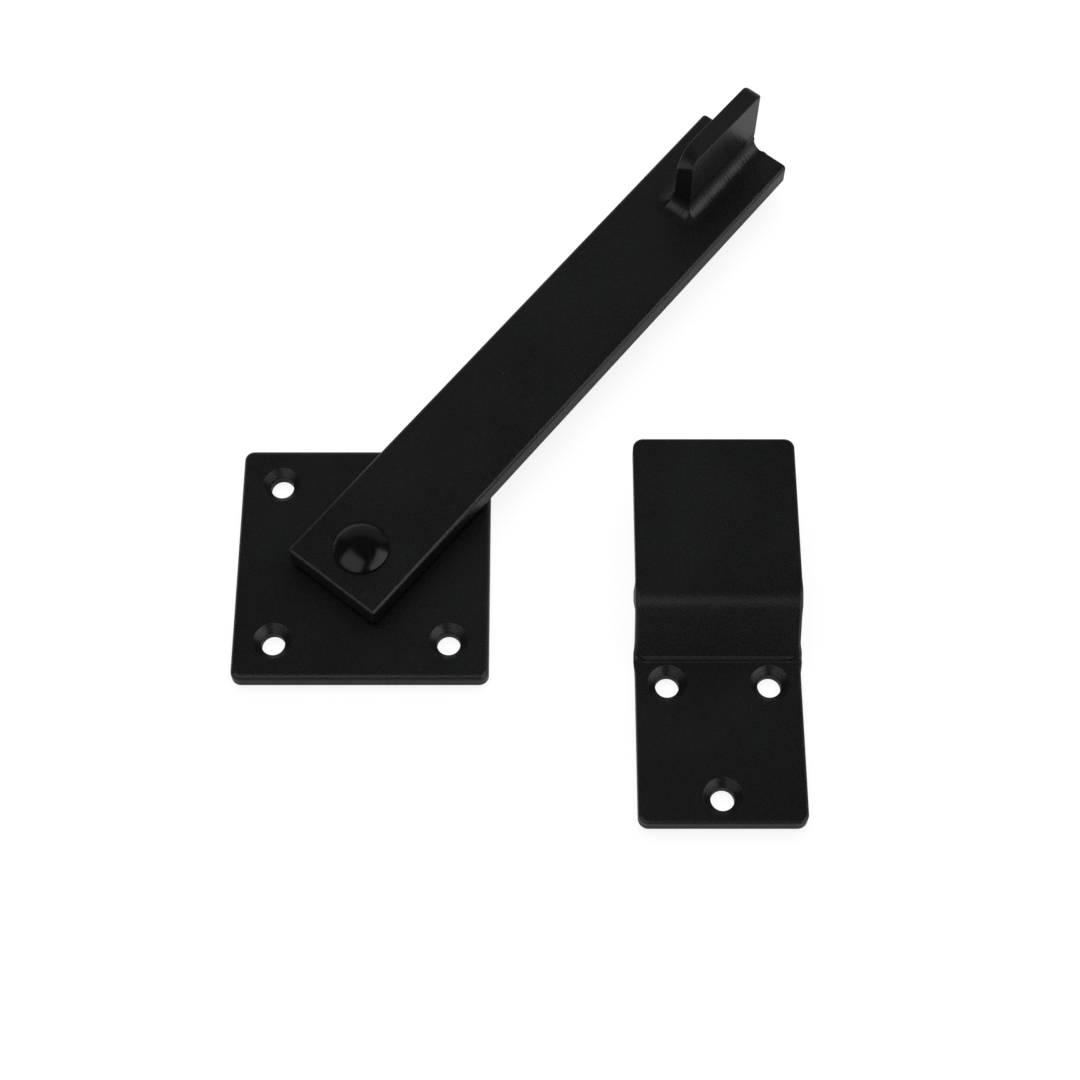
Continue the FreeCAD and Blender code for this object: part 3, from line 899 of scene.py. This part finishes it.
lower_setback = (ROOT_RADIUS + keeper_thickness) * math.tan(RISER_ANGLE / 2)
upper_setback = INNER_BEND_RADIUS * math.tan(RISER_ANGLE / 2)
lower_bend_y = floor_y - riser_run - lower_setback
pad_start = Vector((keeper_low.x, keeper_low.y, 0))
pad_end = Vector((keeper_high.x, lower_bend_y - FINE_RUN, keeper_thickness))
keeper = start_block("keeper_coated", pad_start, pad_end)
pick("FACE", lambda face: face.normal.y > 0.99)
extrude_straight(Vector((0, 1, 0)), FINE_RUN - ROOT_LINE, FINE_STEPS)
extrude_straight(Vector((0, 1, 0)), ROOT_LINE)
bpy.ops.mesh.spin(steps=BEND_STEPS, angle=RISER_ANGLE, axis=(-1, 0, 0),
                  center=(0, lower_bend_y, keeper_thickness + ROOT_RADIUS))
up_slope = Vector((0, math.cos(RISER_ANGLE), math.sin(RISER_ANGLE)))
behind_slope = Vector((0, math.sin(RISER_ANGLE), -math.cos(RISER_ANGLE)))
riser_length = tongue_back / math.sin(RISER_ANGLE) - lower_setback - upper_setback
extrude_straight(up_slope, ROOT_LINE)
extrude_straight(up_slope, riser_length - ROOT_LINE, 2 * FINE_STEPS)
riser_top = Vector((0, floor_y, tongue_back)) - up_slope * upper_setback
bpy.ops.mesh.spin(steps=BEND_STEPS, angle=RISER_ANGLE, axis=(1, 0, 0),
                  center=riser_top + behind_slope * INNER_BEND_RADIUS)
tongue_start = floor_y + upper_setback
extrude_straight(Vector((0, 1, 0)), FINE_RUN, FINE_STEPS)
extrude_straight(Vector((0, 1, 0)), keeper_high.y - tongue_start - FINE_RUN)
print("riser", round(riser_length / MM, 2), "tongue", round((keeper_high.y - tongue_start) / MM, 2))

# %% Bulge the bends, round the edges and drill
root_middle = Vector((0, lower_bend_y, keeper_thickness + ROOT_RADIUS)) + ROOT_RADIUS * Vector(
    (0, math.sin(RISER_ANGLE / 2), -math.cos(RISER_ANGLE / 2)))
upper_middle = Vector((0, floor_y, tongue_back))
for side in (-1, 1):
    wall_x = keeper_low.x if side < 0 else keeper_high.x
    for squeezed in (root_middle, upper_middle):
        centre = Vector((wall_x, squeezed.y, squeezed.z))
        pick("VERT", lambda vertex: (vertex.co - centre).length < BULGE_PICK)
        bpy.ops.transform.translate(value=(side * BULGE, 0, 0), use_proportional_edit=True,
                                    proportional_edit_falloff="SMOOTH", proportional_size=BULGE_REACH)


def at_keeper_end(edge):
    """True for an upright edge at either end of the keeper."""
    return upright(edge) and any(abs(edge.verts[0].co.y - end.y) < TOUCH
                                 for end in (keeper_low, keeper_high))


pick("EDGE", at_keeper_end)
round_edges(KEEPER_CORNER, 9)
pick("EDGE", lambda edge: on_rim(edge, 1))
round_edges(KEEPER_RIM, 6)
pick("EDGE", lambda edge: on_rim(edge, -1))
round_edges(BACK_RIM, 2)
bpy.ops.mesh.select_all(action="SELECT")
bpy.ops.mesh.normals_make_consistent(inside=False)
bpy.ops.object.mode_set(mode="OBJECT")

root_centre = Vector((0, lower_bend_y, keeper_thickness + ROOT_RADIUS))
out_of_root = (root_centre - root_middle).normalized()
riser_line = root_centre + behind_slope * ROOT_RADIUS
pad_line = root_centre - Vector((0, 0, ROOT_RADIUS))


def from_root(point):
    """Distance of a point from the middle line of the root, seen along X."""
    return math.hypot(point.y - root_middle.y, point.z - root_middle.z)


edit(keeper)
for wall_x, side in ((keeper_low.x, 1), (keeper_high.x, -1)):
    start = Vector((wall_x, riser_line.y, riser_line.z))
    end = Vector((wall_x + side * STROKE_RUN, pad_line.y, pad_line.z))
    across = (end - start).cross(out_of_root).normalized()
    for shift in (-ROOT_LINE, ROOT_LINE, 0.0):
        pick("FACE", lambda face: from_root(face.calc_center_median()) < ROOT_FACE_REACH
             and face.normal.dot(out_of_root) > 0.5)
        bpy.ops.mesh.bisect(plane_co=start + across * shift, plane_no=across, threshold=TOUCH)
    pick("VERT", lambda vertex: from_root(vertex.co) < ROOT_POINT_REACH
         and vertex.normal.dot(out_of_root) > 0.5
         and abs((vertex.co - start).dot(across)) < TOUCH)
    bpy.ops.transform.translate(value=out_of_root * STROKE_HEIGHT)
for line, facing in ((pad_line, Vector((0, 0, 1))), (riser_line, -behind_slope)):
    pick("VERT", lambda vertex: (Vector((0, vertex.co.y, vertex.co.z)) - line).length < TOUCH)
    bpy.ops.transform.translate(value=facing * ROOT_LINE_HEIGHT)
bpy.ops.object.mode_set(mode="OBJECT")
print("root line", round(pad_line.y / MM, 2), "to", round(riser_line.y / MM, 2))

pair = mount("keeper_pair_screws")
single = mount("keeper_single_screw")
half_spacing = pair["dims"]["spacing_x_mm"] * MM / 2
for x, y in ((pair["pos_m"][0] - half_spacing, pair["pos_m"][1]),
             (pair["pos_m"][0] + half_spacing, pair["pos_m"][1]),
             (single["pos_m"][0], single["pos_m"][1])):
    cut_screw_hole(keeper, x, y, keeper_thickness)
finish_piece(keeper, powder_coat, "mounting", "keeper_powder_coat", "keeper")
